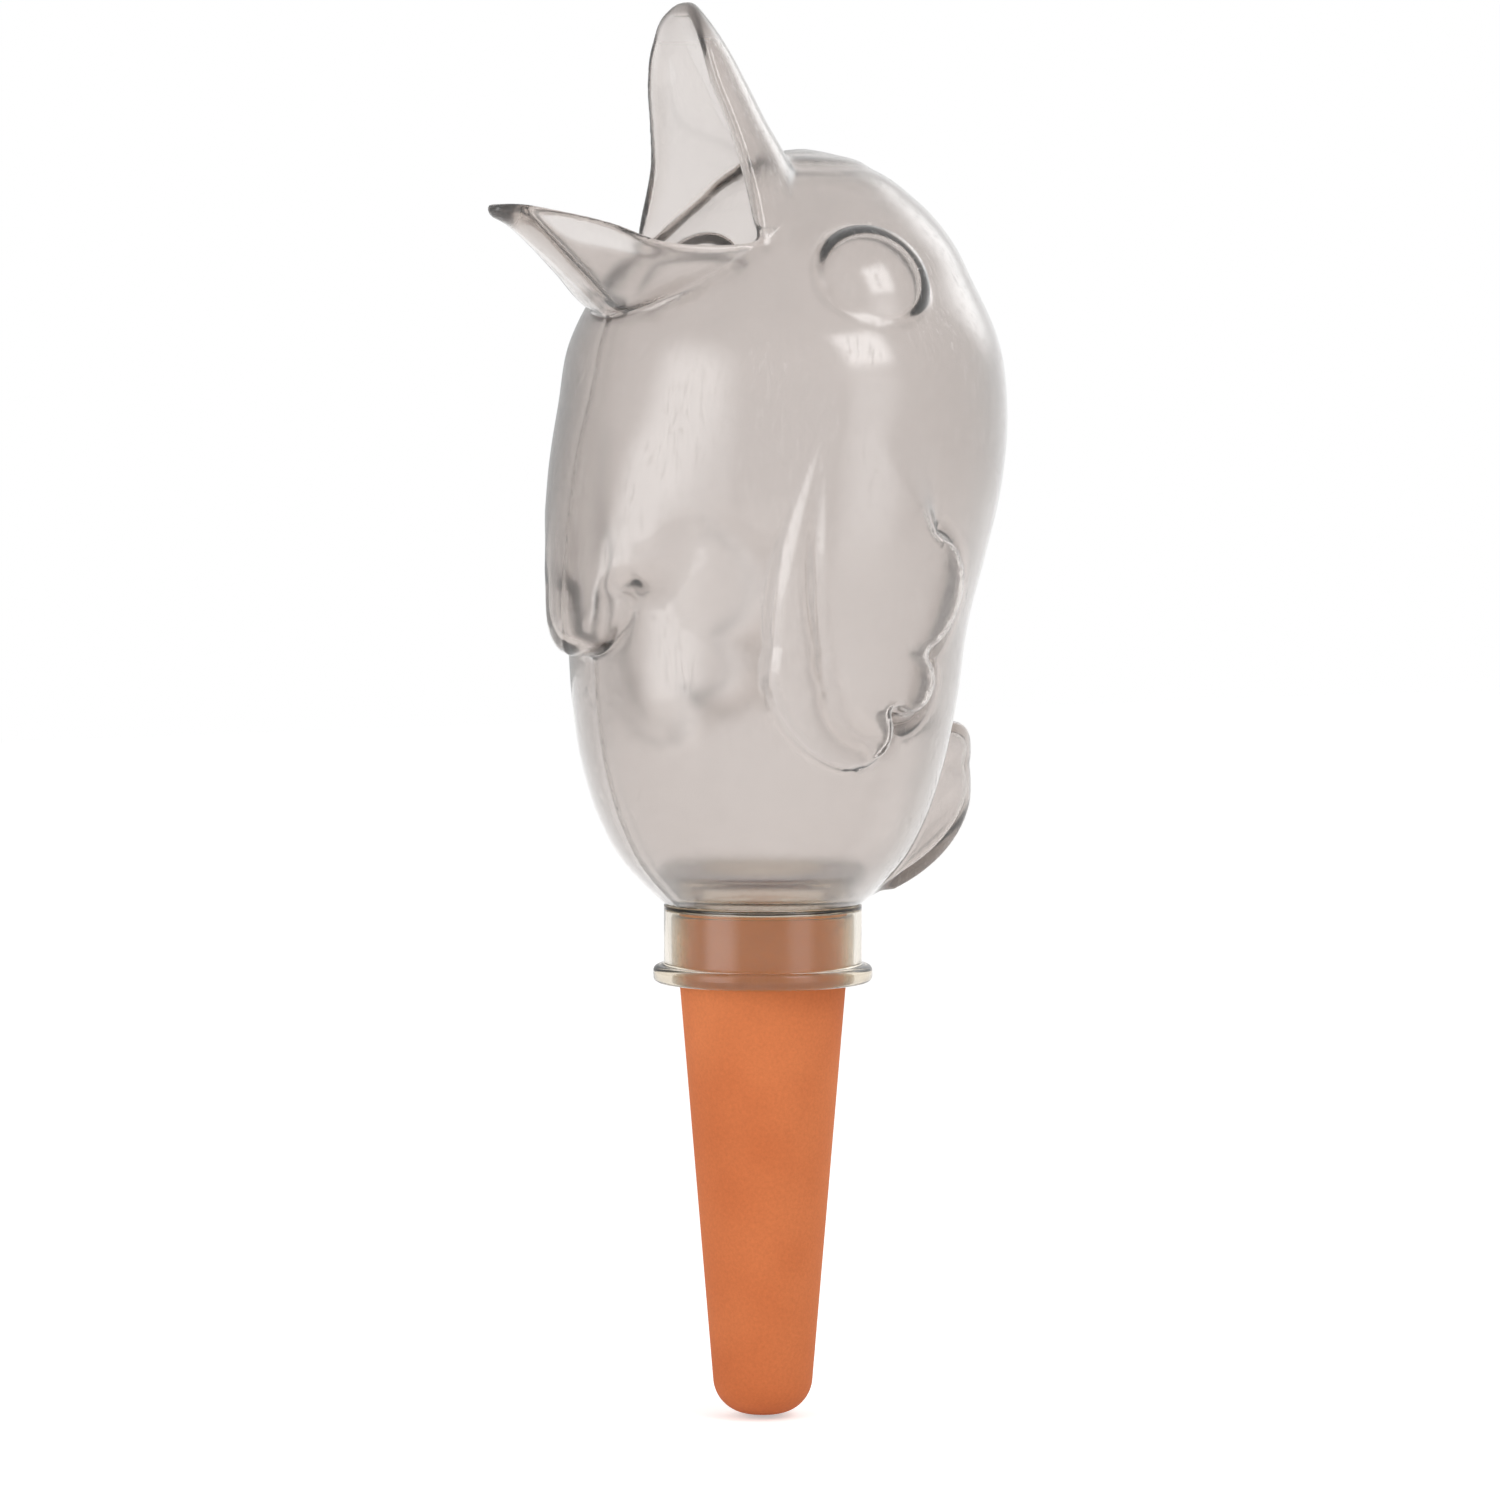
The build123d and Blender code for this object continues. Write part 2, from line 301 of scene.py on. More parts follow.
FLOOR_HALF_WIDTH = 1.5
FLOOR_GAP = 0.0005         # under the tip of the cone
FLOOR_GLOW = 0.42
ROOM_FILL = 0.66           # light of the room where nothing looks straight at it
FLAT_AZIMUTH = 278.0       # the grey flat, behind the bird's right side
FLAT_EDGE = (0.60, 0.85)   # cosines of the angles over which it fades in
FLAT_GREY = 0.50

LAMP_TARGET = (0, 0, 0.06)
EYE_TARGET = (0.028, 0, 0.096)
# Name, azimuth, elevation, distance, width, height, glow, share of the size over which it fades
# towards its edges, and what it looks at.
SOFTBOXES = (
    ("tall_softbox_left", 8, 5, 0.50, 0.52, 0.80, 2.7, 0.38, LAMP_TARGET),
    ("tall_softbox_right", 102, 4, 0.50, 0.42, 0.66, 1.6, 0.42, LAMP_TARGET),
    ("square_softbox", 103, 36, 0.50, 0.30, 0.30, 4.2, 0.26, EYE_TARGET),
    ("rim_softbox", CAMERA_AZIMUTH + 140, 28, 0.90, 0.55, 0.70, 1.5, 0.42, LAMP_TARGET),
)

# ---------------------------------------------------------------- numbers, lines and distances


def ease(t):
    """0 up to 0, 1 from 1 on, and a smooth rise between them."""
    t = np.clip(t, 0, 1)
    return t * t * (3 - 2 * t)


def after(place, start, span):
    """0 up to the start, then a smooth rise to 1 over the span."""
    return ease((place - start) / span)


def before(place, end, span):
    """1, then a smooth fall to 0 over the span that ends at the end."""
    return ease((end - place) / span)


def bell(away, half_width):
    """1 in the middle, falling off on both sides."""
    return np.exp(-(away / half_width) ** 2)


def direction(azimuth, elevation):
    """The way at an azimuth, from the front of the bird towards its left, and an elevation."""
    a, e = math.radians(azimuth), math.radians(elevation)
    return math.sin(a) * math.cos(e), -math.cos(a) * math.cos(e), math.sin(e)


def through(rows, at):
    """The columns of rows of numbers at the heights asked for, on a smooth curve through them."""
    rows = np.array(rows)
    keys = rows[:, 0]
    slopes = np.gradient(rows[:, 1:], keys, axis=0)
    at = np.clip(at, keys[0], keys[-1])
    index = np.clip(np.searchsorted(keys, at) - 1, 0, len(keys) - 2)
    span = (keys[index + 1] - keys[index])[:, None]
    t = (at - keys[index])[:, None] / span
    low, high = rows[index, 1:], rows[index + 1, 1:]
    return (
        low * (1 + 2 * t) * (1 - t) ** 2 + slopes[index] * span * t * (1 - t) ** 2
        + high * t * t * (3 - 2 * t) + slopes[index + 1] * span * t * t * (t - 1)
    )


def arc(start, middle, end, steps=24):
    """Points on the round arc through three points."""
    a, b, c = (np.array(p, dtype=float) for p in (start, middle, end))
    matrix = 2 * np.array([b - a, c - a])
    centre = np.linalg.solve(matrix, [b @ b - a @ a, c @ c - a @ a])
    turns = [math.atan2(*(p - centre)[::-1]) for p in (a, b, c)]
    full = 2 * math.pi
    to_b, to_c = (turns[1] - turns[0]) % full, (turns[2] - turns[0]) % full
    sweep = to_c if to_b < to_c else to_c - full
    radius = np.linalg.norm(a - centre)
    angles = turns[0] + sweep * np.linspace(0, 1, steps)
    return [tuple(centre + radius * np.array([math.cos(t), math.sin(t)])) for t in angles]


def to_line(across, up, points):
    """Distance from each place of a flat grid to a line through points."""
    best = np.full(np.broadcast(across, up).shape, np.inf)
    for (x0, y0), (x1, y1) in zip(points, points[1:]):
        dx, dy = x1 - x0, y1 - y0
        t = np.clip(((across - x0) * dx + (up - y0) * dy) / max(dx * dx + dy * dy, 1e-12), 0, 1)
        best = np.minimum(best, np.hypot(across - x0 - t * dx, up - y0 - t * dy))
    return best


def inside_of(across, up, points):
    """True where a place of a flat grid is inside the closed outline."""
    within = np.zeros(np.broadcast(across, up).shape, dtype=bool)
    for (x0, y0), (x1, y1) in zip(points, [*points[1:], points[0]]):
        if y0 != y1:
            crossed = (y0 > up) != (y1 > up)
            within ^= crossed & (across < (x1 - x0) * (up - y0) / (y1 - y0) + x0)
    return within


def to_outline(across, up, points):
    """Distance to a closed outline, less than zero inside it."""
    away = to_line(across, up, [*points, points[0]])
    return np.where(inside_of(across, up, points), -away, away)


def joined(a, b, fillet):
    """Two forms as one, with a fillet between them."""
    h = np.maximum(fillet - np.abs(a - b), 0) / fillet
    return np.minimum(a, b) - h * h * fillet / 4


def common(a, b, rounding):
    """What two forms have in common, with its edge rounded."""
    h = np.maximum(rounding - np.abs(a - b), 0) / rounding
    return np.maximum(a, b) + h * h * rounding / 4


def true_distance(field):
    """A field that is zero on its surface, divided by its slope: it reads as a distance there."""
    slope = np.sqrt(sum(g * g for g in np.gradient(field, PITCH)))
    return field / np.maximum(slope, 0.02)


# ---------------------------------------------------------------- the bird, as distances on a grid
# side counts from the mirror plane, back from front to back, and up is the height. The distances
# are worked out for the bird's left half and for a few grid steps past the mirror plane.


def bird_grid():
    """The grid's three axes."""
    side = np.arange(-GRID_OVERLAP, math.ceil(GRID_SIDE / PITCH)) * PITCH
    back = np.arange(math.floor(GRID_FRONT / PITCH), math.ceil(GRID_BACK / PITCH)) * PITCH
    low, high = FOOT - GRID_MARGIN, TIP_HEIGHT + GRID_MARGIN
    up = np.arange(math.floor(low / PITCH), math.ceil(high / PITCH)) * PITCH
    return side, back, up


def spread(side, back, up):
    """The grid's axes, shaped so that sums of them fill the grid."""
    return side[:, None, None], back[None, :, None], up[None, None, :]


def egg_distance(side, back, up):
    """Distance to the bare egg, measured from a fine mesh of it."""
    cap = 1 - np.geomspace(EGG_CAP, EGG_CAP_END, EGG_CAP_LEVELS)[1:]
    heights = np.concatenate([np.linspace(0, 1 - EGG_CAP, EGG_LEVELS), cap])
    rows = through(EGG_ROWS + ((1.0, EGG_CROWN, 0.0, 0.0),), heights)
    # Above the last row the egg closes as a round cap.
    last = EGG_ROWS[-1]
    share = np.sqrt(np.clip((1 - heights) / (1 - last[0]), 0, 1))
    for column in (1, 2):
        closed = share * last[column + 1]
        rows[:, column] = np.where(heights > last[0], closed, rows[:, column])
    turns = np.linspace(0, 2 * math.pi, EGG_SIDES + 1)[:-1]
    ring_x = rows[:, 2:3] * HALF_WIDTH * np.cos(turns)
    ring_y = rows[:, 1:2] * HALF_DEPTH * np.sin(turns) - rows[:, 0:1] * HALF_DEPTH
    ring_z = np.repeat((FOOT + heights * BODY_HEIGHT)[:, None], len(turns), axis=1)
    points = np.stack([ring_x, ring_y, ring_z], axis=-1).reshape(-1, 3)
    count = len(turns)
    foot = len(points)
    ends = [[0, 0, FOOT], [0, -EGG_CROWN * HALF_DEPTH, FOOT + BODY_HEIGHT]]
    points = np.vstack([points, ends])
    i, j = np.meshgrid(np.arange(len(heights) - 1), np.arange(count), indexing="ij")
    k = (j + 1) % count
    ring, above = i * count, (i + 1) * count
    quads = np.stack([ring + j, ring + k, above + k, above + j], axis=-1).reshape(-1, 4)
    j = np.arange(count)
    k = (j + 1) % count
    top = (len(heights) - 1) * count
    triangles = np.vstack([
        np.stack([np.full(count, foot), k, j], axis=-1),
        np.stack([np.full(count, foot + 1), top + j, top + k], axis=-1),
    ])
    grid = openvdb.FloatGrid.createLevelSetFromPolygons(
        points=points.astype(np.float32),
        triangles=triangles.astype(np.uint32),
        quads=quads.astype(np.uint32),
        transform=openvdb.createLinearTransform(voxelSize=PITCH),
        halfWidth=EGG_BAND,
    )
    out = np.zeros((len(side), len(back), len(up)), dtype=np.float32)
    grid.copyToArray(out, ijk=tuple(int(round(axis[0] / PITCH)) for axis in (side, back, up)))
    return out


def wing_relief(back, up):
    """How far the wing stands out of the egg, seen square on, and its ribs inwards."""
    height = WING_SHOULDER - WING_TIP

    def place(share):
        reach = WING_FRONT if share[0] > 0 else WING_BACK
        return -share[0] * reach, WING_TIP + share[1] * height

    front = [p for shares in WING_FRONT_ARCS for p in arc(*(place(s) for s in shares))]
    rear = [p for shares in WING_BACK_ARCS for p in arc(*(place(s) for s in shares))]
    shoulder = place(WING_SHOULDER_POINT)
    y, z = back[:, None], up[None, :]
    inside = inside_of(y, z, [*front, *rear, shoulder])
    fade = before(z, WING_FADE_TOP, WING_FADE)

    inwards = to_line(y, z, front)
    facet = (
        FACET_WIDTH + FACET_WIDENING * np.clip(FACET_MIDDLE - z, *FACET_WIDENS)
        - FACET_NARROWING * np.clip(FACET_FOOT - z, *FACET_NARROWS)
    )
    past_facet = inwards - facet
    ramp = (
        EDGE_SHARE * ease(inwards / EDGE_WIDTH)
        + FACET_SHARE * np.clip(inwards / facet, 0, 1)
        + SLOPE_SHARE * ease(past_facet / SLOPE_WIDTH + 0.5)
        - GROOVE_SHARE * bell(past_facet, GROOVE_HALF_WIDTH) * ease(inwards / GROOVE_START)
    )
    step_width = WING_STEP + WING_STEP_WIDENING * np.maximum(z - WING_STEP_TOP, 0)
    step = ease(to_line(y, z, [*rear, shoulder]) / step_width)
    relief = np.where(inside, WING_RISE * ramp * step, 0) * fade

    beyond = np.where(inside, 1, -1) * to_line(y, z, rear) + STEP_RIB_SHIFT
    along_step = STEP_RIB * bell(beyond, STEP_RIB_HALF_WIDTH)
    along_step = along_step * before(z, *STEP_RIB_TOP) * after(z, *STEP_RIB_FOOT)
    along_ridge = RIDGE_RIB * bell(past_facet, RIDGE_RIB_HALF_WIDTH) * np.where(inside, fade, 0)
    along_ridge = along_ridge * before(y, *RIDGE_RIB_BACK)
    return relief, np.maximum(along_step, along_ridge)


def bib_distance(side, back, up):
    """Distance to the breast bib: level rounds behind an apron with a lobed hem."""
    x, y, z = spread(np.abs(side), back, up)
    height = BIB_TOP - BIB_HEM
    forwards, radius = (through(BIB_ROUNDS, (up - BIB_HEM) / height) * BIB_REACH).T
    thinning = BIB_THINNING * after(x, *BIB_THINNING_SIDE) * before(z, *BIB_THINNING_TOP)
    rounds = np.maximum(np.hypot(x, y + forwards) - radius + thinning, y - BIB_BACK)
    notch, lobe, lobe_end = (
        (a * BIB_HALF_WIDTH, BIB_HEM + b * height) for a, b in (BIB_NOTCH, *BIB_SIDE_LOBE)
    )
    middle = arc((-notch[0], notch[1]), (0, BIB_HEM), notch)
    edge = BIB_EDGE * BIB_HALF_WIDTH
    hem = [*middle[len(middle) // 2:], *arc(notch, lobe, lobe_end), (edge, lobe_end[1])]
    outline = [(-edge, BIB_HEM), *hem, (edge, BIB_TOP), (-edge, BIB_TOP)]
    apron = to_outline(np.abs(side)[:, None], up[None, :], outline)[:, None, :]
    rounding = BIB_ROUNDING + BIB_SIDE_ROUNDING * after(x, *BIB_SIDE_ROUNDING_FADE)
    return common(rounds, np.broadcast_to(apron, rounds.shape), rounding)


def eye_distance(side, back, up):
    """Distance to the eye: a dome on a round button, along an axis of its own."""
    axis = direction(EYE_AZIMUTH, EYE_ELEVATION)
    from_apex = [place - apex for place, apex in zip(spread(np.abs(side), back, up), EYE_APEX)]
    along = sum(a * b for a, b in zip(from_apex, axis))
    apart = sum(a * a for a in from_apex)
    dome = np.sqrt(np.maximum(apart + 2 * EYE_DOME * along + EYE_DOME ** 2, 0)) - EYE_DOME
    barrel = np.sqrt(np.maximum(apart - along ** 2, 0)) - EYE_RADIUS
    return common(dome, barrel, EYE_ROUNDING)


def tail_distance(side, back, up):
    """Distance to the tail: its lobed side view, cut to half an oval seen from above."""
    x, y, _ = spread(side, back, up)
    shape = (len(side), len(back), len(up))
    height = TAIL_TOP - TAIL_FOOT
    feathers = [p for shares in TAIL_ARCS for p in arc(*shares)]
    feathers = [(b * TAIL_REACH, TAIL_FOOT + u * height) for b, u in feathers]
    outline = [*feathers, (TAIL_ROOT, TAIL_FOOT), (TAIL_ROOT, TAIL_TOP)]
    side_view = to_outline(back[:, None], up[None, :], outline)[None, :, :]
    plan = np.hypot((y - TAIL_ROOT) / (TAIL_REACH - TAIL_ROOT), x / TAIL_HALF_WIDTH) - 1
    plan = true_distance(np.broadcast_to(plan * TAIL_HALF_WIDTH, shape))
    return common(np.broadcast_to(side_view, shape), plan, TAIL_ROUNDING)


def upper_beak(side, back, up):
    """Distances to the beak's upper half, a round back, and to the plane of its lips."""
    x, y, _ = spread(side, back, up)
    rows = through(UPPER_ROWS, (up - MOUTH_HEIGHT) / (TIP_HEIGHT - MOUTH_HEIGHT))
    lips, width, depth = (rows * (UPPER_REACH, MOUTH_HALF_WIDTH, UPPER_DEPTH)).T
    round_back = np.sqrt((x / width) ** 2 + (np.maximum(y + lips, 0) / depth) ** 2) - 1
    return true_distance(round_back * np.minimum(width, depth)), -(y + lips) + 0 * x


def lower_beak(side, back, up):
    """Distances to the beak's lower half, a round keel, and to the surface of its lips."""
    x, _, z = spread(side, back, up)
    rows = through(LOWER_ROWS, -back / LOWER_REACH) * (LOWER_DEPTH, MOUTH_HALF_WIDTH, LOWER_DEPTH)
    rise, width, depth = (row[None, :, None] for row in rows.T)
    lips = MOUTH_HEIGHT + rise
    round_keel = np.sqrt((x / width) ** 2 + (np.maximum(lips - z, 0) / depth) ** 2) - 1
    return true_distance(round_keel * np.minimum(width, depth)), z - lips + 0 * x


def bird_shell(side, back, up):
    """Distances to the clear bird's wall."""
    x, y, z = spread(side, back, up)
    relief, ribs = wing_relief(back, up)
    body = egg_distance(side, back, up) - relief[None, :, :]
    body = joined(body, bib_distance(side, back, up), BIB_FILLET)
    body = joined(body, eye_distance(side, back, up), EYE_FILLET)
    body = joined(body, tail_distance(side, back, up), TAIL_FILLET)
    ribs = ribs[None, :, :] * after(np.abs(x), *RIB_SIDE)
    shape = body.shape
    from_lower_tip = y + LOWER_REACH

    upper, upper_lips = upper_beak(side, back, up)
    upper_ends = np.maximum(MOUTH_HEIGHT - UPPER_ROOT - z, z - TIP_HEIGHT)
    upper_ends = np.broadcast_to(upper_ends, shape)
    upper_half = common(common(upper, upper_lips, BEAK_LIP_ROUNDING), upper_ends, BEAK_END_ROUNDING)
    lower, lower_lips = lower_beak(side, back, up)
    lower_back = y + LOWER_ROWS[0][0] * LOWER_REACH
    lower_ends = np.broadcast_to(np.maximum(lower_back, -LOWER_REACH - y), shape)
    lower_half = common(common(lower, lower_lips, BEAK_LIP_ROUNDING), lower_ends, BEAK_END_ROUNDING)
    outside = joined(joined(body, upper_half, BEAK_FILLET), lower_half, BEAK_FILLET)
    seam_fade = before(z, TIP_HEIGHT - SEAM_TIP_MARGIN, SEAM_TIP_FADE)
    seam_fade = seam_fade * after(from_lower_tip, SEAM_TIP_MARGIN, SEAM_TIP_FADE)
    outside = outside - SEAM_RISE * bell(x, SEAM_HALF_WIDTH) * seam_fade

    upper_bead = UPPER_BEAD * ease(1 + upper_lips / BEAD_DEPTH)
    upper_bead = upper_bead * after(z, MOUTH_HEIGHT, BEAD_ROOT_FADE)
    upper_bead = upper_bead * before(z, TIP_HEIGHT, BEAD_TIP_FADE)
    lower_bead = LOWER_BEAD * ease(1 + lower_lips / BEAD_DEPTH)
    lower_bead = lower_bead * ease(from_lower_tip / BEAD_TIP_FADE)
    keel = KEEL * bell(x, KEEL_HALF_WIDTH)
    gape = -y - (UPPER_ROWS[0][1] * UPPER_REACH + GAPE_REACH)
    upper_ends = np.maximum(MOUTH_HEIGHT - z, z - (TIP_HEIGHT - UPPER_TIP_SOLID))
    upper_hollow = np.maximum(np.maximum(upper + WALL + upper_bead, gape), upper_ends)
    lower_ends = np.maximum(lower_back, -y - (LOWER_REACH - LOWER_TIP_SOLID))
    lower_hollow = np.maximum(lower + WALL + lower_bead + keel, lower_lips - LOWER_OVERCUT)
    lower_hollow = np.maximum(lower_hollow, lower_ends)
    hollow = joined(body + WALL + ribs, upper_hollow, HOLLOW_FILLET)
    hollow = joined(hollow, lower_hollow, HOLLOW_FILLET)
    throat = np.maximum(np.hypot(x, y) - THROAT_RADIUS, z - THROAT_TOP)
    hollow = np.minimum(hollow, throat)

    wall = common(outside, -hollow, WALL_ROUNDING)
    return np.maximum(wall, FOOT - z).astype(np.float32)


def mirrored(side, field):
    """The left half of a field with its mirror image."""
    keep = side >= -1e-6
    half = field[keep]
    whole = np.concatenate([half[:0:-1], half])
    across = np.concatenate([-side[keep][:0:-1], side[keep]])
    return across, whole


# ---------------------------------------------------------------- meshes


def add_object(name, data):
    """A new object in the scene."""
    made = bpy.data.objects.new(name, data)
    bpy.context.scene.collection.objects.link(made)
    return made


def read_grid(field, places):
    """The field at places given in grid steps, on straight lines between its points."""
    low = np.clip(np.floor(places).astype(int), 0, np.array(field.shape) - 2)
    part = places - low
    total = np.zeros(len(places))
    for i in (0, 1):
        for j in (0, 1):
            for k in (0, 1):
                weight = np.ones(len(places))
                for axis, step in enumerate((i, j, k)):
                    weight = weight * (part[:, axis] if step else 1 - part[:, axis])
                total += weight * field[low[:, 0] + i, low[:, 1] + j, low[:, 2] + k]
    return total


def leaning(points, normals, corners):
    """How each triangle faces against its corners' normals: 1 along them, below 0 folded over."""
    a, b, c = (points[corners[:, i]] for i in range(3))
    facing = np.cross(b - a, c - a)
    facing = facing / np.maximum(np.linalg.norm(facing, axis=1), 1e-12)[:, None]
    return (facing * normals[corners].mean(axis=1)).sum(axis=1)


def middles(points, corners):
    """For each point, the middle of the points that it shares an edge with."""
    edges = ([0, 1], [1, 2], [2, 0], [1, 0], [2, 1], [0, 2])
    start, end = np.vstack([corners[:, pair] for pair in edges]).T
    count = np.bincount(start, minlength=len(points))
    total = [np.bincount(start, weights=points[end, i], minlength=len(points)) for i in range(3)]
    return np.stack(total, axis=-1) / np.maximum(count, 1)[:, None]


def surface_mesh(name, side, back, up, field):
    """The zero surface of a field as a mesh object in metres, with the field's own normals."""
    grid = openvdb.FloatGrid(float(field.max()) + 1)
    grid.copyFromArray(np.ascontiguousarray(np.clip(field, -FIELD_BAND, FIELD_BAND)))
    grid.transform = openvdb.createLinearTransform(voxelSize=PITCH)
    points, triangles, quads = grid.convertToPolygons(isovalue=0.0, adaptivity=EVENNESS)
    field_slopes = np.gradient(field, PITCH)

    def slopes_at(steps):
        return np.stack([read_grid(g, steps) for g in field_slopes], axis=-1)

    def settled(steps):
        """The places moved on to the surface, with the outward normals there."""
        slopes = slopes_at(steps)
        for _ in range(SETTLING_ROUNDS):
            size = np.maximum((slopes ** 2).sum(axis=1), 0.25)
            steps = steps - (read_grid(field, steps) / size)[:, None] * slopes / PITCH
        slopes = slopes_at(steps)
        return steps, slopes / np.maximum(np.linalg.norm(slopes, axis=1), 1e-9)[:, None]

    steps, normals = settled(points.astype(float) / PITCH)
    corners = np.vstack([triangles, quads[:, [0, 1, 2]], quads[:, [0, 2, 3]]]).astype(np.int64)
    if np.median(leaning(steps, normals, corners)) < 0:
        corners = corners[:, ::-1]
    for _ in range(UNFOLDING_ROUNDS):
        folded = np.unique(corners[leaning(steps, normals, corners) < FOLDED])
        if not len(folded):
            break
        steps[folded], normals[folded] = settled(middles(steps, corners)[folded])
    points = steps * PITCH + np.array([side[0], back[0], up[0]])
    mesh = bpy.data.meshes.new(name)
    mesh.from_pydata((points * MM).tolist(), [], corners.tolist())
    mesh.update()
    obj = add_object(name, mesh)
    mesh.shade_smooth()
    mesh.normals_split_custom_set_from_vertices(normals.tolist())
    return obj


def make_bird(finish):
    side, back, up = bird_grid()
    across, wall = mirrored(side, bird_shell(side, back, up))
    obj = surface_mesh("clear_bird", across, back, up, wall)
    obj.data.materials.append(finish)
    return obj


# ---------------------------------------------------------------- turned pieces


def signed_volume(mesh):
    """The volume inside a mesh, less than zero when its faces look inwards."""
    mesh.calc_loop_triangles()
    corners = np.zeros(len(mesh.loop_triangles) * 3, dtype=np.int32)
    mesh.loop_triangles.foreach_get("vertices", corners)
    places = np.zeros(len(mesh.vertices) * 3)
    mesh.vertices.foreach_get("co", places)
    a, b, c = places.reshape(-1, 3)[corners.reshape(-1, 3)].transpose(1, 0, 2)
    return float(np.einsum("ij,ij->i", a, np.cross(b, c)).sum() / 6)


def node(tree, kind, settings=None, **links):
    """Adds a node with its settings and its inputs, which are set to values or linked to sockets.

    Inputs go by name, with _ for a space, or by number: i0 is the first.
    """
    made = tree.nodes.new(kind)
    for key, value in (settings or {}).items():
        setattr(made, key, value)
    for key, value in links.items():
        by_number = key[0] == "i" and key[1:].isdigit()
        socket = made.inputs[int(key[1:]) if by_number else key.replace("_", " ")]
        if isinstance(value, bpy.types.NodeSocket):
            tree.links.new(value, socket)
        else:
            socket.default_value = value
    return made


def maths(tree, operation, first, second, clamp=False):
    """The result of a sum on two values or sockets."""
    settings = {"operation": operation, "use_clamp": clamp}
    return node(tree, "ShaderNodeMath", settings, i0=first, i1=second).outputs[0]


def turning_tree():
    """Rounds the corners of a half section drawn in X (radius) and Z (height), and turns it."""
    tree = bpy.data.node_groups.new("turn_half_section", "GeometryNodeTree")
    for name, kind, way in (
        ("Half Section", "NodeSocketGeometry", "INPUT"),
        ("Turning Radius", "NodeSocketFloat", "INPUT"),
        ("Turn Steps", "NodeSocketInt", "INPUT"),
        ("Corner Steps", "NodeSocketInt", "INPUT"),
        ("Finish", "NodeSocketMaterial", "INPUT"),
        ("Ring", "NodeSocketGeometry", "OUTPUT"),
    ):
        tree.interface.new_socket(name, in_out=way, socket_type=kind)
    sizes = node(tree, "NodeGroupInput").outputs
    position = node(tree, "GeometryNodeInputPosition").outputs[0]
    place = node(tree, "ShaderNodeSeparateXYZ", Vector=position).outputs
    offset = maths(tree, "SUBTRACT", place["X"], sizes["Turning Radius"])
    # A profile's Y points down when it follows the circle, so heights are turned over first.
    down = maths(tree, "MULTIPLY", place["Z"], -1.0)
    flat = node(tree, "ShaderNodeCombineXYZ", X=offset, Y=down)
    laid = node(
        tree, "GeometryNodeSetPosition", Geometry=sizes["Half Section"], Position=flat.outputs[0],
    )
    line = node(tree, "GeometryNodeMeshToCurve", Mesh=laid.outputs[0])
    corner = node(
        tree, "GeometryNodeInputNamedAttribute", {"data_type": "FLOAT"}, Name="corner_radius",
    )
    section = node(
        tree, "GeometryNodeFilletCurve", {"mode": "POLY"},
        Curve=line.outputs[0], Count=sizes["Corner Steps"], Radius=corner.outputs["Attribute"],
    )
    path = node(
        tree, "GeometryNodeCurvePrimitiveCircle", {"mode": "RADIUS"},
        Resolution=sizes["Turn Steps"], Radius=sizes["Turning Radius"],
    )
    ring = node(
        tree, "GeometryNodeCurveToMesh", Curve=path.outputs[0], Profile_Curve=section.outputs[0],
    )
    real = node(tree, "GeometryNodeRealizeInstances", Geometry=ring.outputs[0])
    finished = node(
        tree, "GeometryNodeSetMaterial", Geometry=real.outputs[0], Material=sizes["Finish"],
    )
    node(tree, "NodeGroupOutput", Ring=finished.outputs[0])
    return tree


def turned(name, tree, corners, finish):
    """A ring from its half section: (radius, height, corner radius) for each corner, in mm."""
    corners = np.array(corners, dtype=float) * MM
    wire = bpy.data.meshes.new(name + "_section")
    count = len(corners)
    sides = [(i, (i + 1) % count) for i in range(count)]
    wire.from_pydata([(r, 0, h) for r, h, _ in corners], sides, [])
    rounding = wire.attributes.new("corner_radius", "FLOAT", "POINT")
    rounding.data.foreach_set("value", corners[:, 2].copy())
    blank = add_object(name + "_section", wire)
    modifier = blank.modifiers.new("turn", "NODES")
    modifier.node_group = tree
    sizes = {
        "Turning Radius": float(corners[:, 0].mean()),
        "Turn Steps": TURN_STEPS,
        "Corner Steps": CORNER_STEPS,
        "Finish": finish,
    }
    for socket in tree.interface.items_tree:
        if socket.in_out == "INPUT" and socket.name in sizes:
            modifier[socket.identifier] = sizes[socket.name]
    evaluated = blank.evaluated_get(bpy.context.evaluated_depsgraph_get())
    mesh = bpy.data.meshes.new_from_object(evaluated)
    blank.modifiers.remove(modifier)
    bpy.data.objects.remove(blank)
    mesh.name = name
    if signed_volume(mesh) < 0:
        mesh.flip_normals()
    mesh.shade_smooth()
    return add_object(name, mesh)


def make_collar(tree, finish):
    socket = NECK_RADIUS - NECK_WALL
    return turned("neck_collar_clear", tree, (
        (LIP_RADIUS, 0, 0.8),
        (LIP_RADIUS, LIP_THICKNESS, 0.8),
        (NECK_RADIUS, LIP_THICKNESS, 0.45),
        (NECK_RADIUS, FOOT, 0.3),
        (BOSS_RADIUS, FOOT, 0.2),
        (BOSS_RADIUS, PLUG_FOOT, 0.3),
        (PLUG_RADIUS, PLUG_TOP, 0.35),
        (WATER_HOLE_RADIUS, PLUG_TOP, 0.4),
        (WATER_HOLE_RADIUS, CONE_RIM_HEIGHT, 0.4),
        (socket, CONE_RIM_HEIGHT, 0.3),
        (socket, 0, 0.45),
    ), finish)


